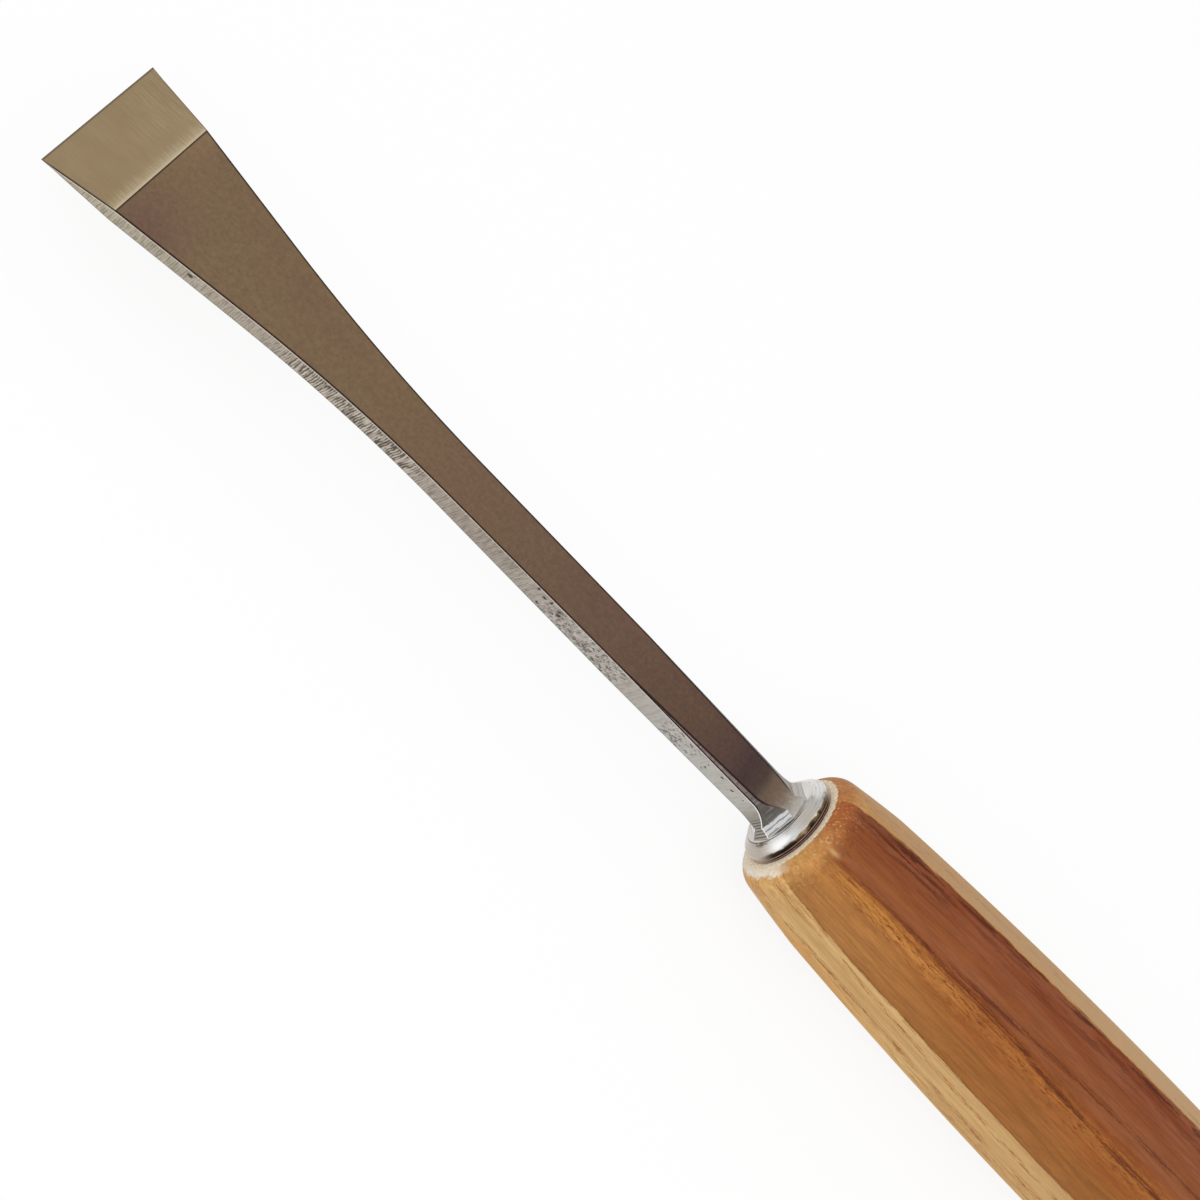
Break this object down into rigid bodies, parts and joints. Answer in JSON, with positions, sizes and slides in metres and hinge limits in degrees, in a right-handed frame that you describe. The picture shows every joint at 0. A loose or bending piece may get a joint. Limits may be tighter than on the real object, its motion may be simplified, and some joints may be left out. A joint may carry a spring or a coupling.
{
  "type": "fishtail chisel",
  "caption": "Wood-carving chisel with a flat blade that flares to a wide double-bevelled edge, a slender shank, a round bolster and an octagonal wooden handle.",
  "frame": {"origin": "on the plane that the handle's lowest facet touches, under the middle of the tool's length", "axes": "+X along the tool to the cutting edge, +Z out of the blade's upper face"},
  "size_m": [0.257, 0.0266, 0.0266],
  "materials": {
    "blade_steel": "ground and polished tool steel with fine grinding lines and a few dark pits on the sides",
    "handle_wood": "satin hardwood with pale sapwood, red-brown heartwood and straight grain along the tool",
    "ferrule_steel": "plain drawn steel tube"
  },
  "bodies": {
    "root": {"blade": "blade_steel", "handle": "handle_wood", "inner_ferrule": "ferrule_steel"}
  },
  "joints": []
}
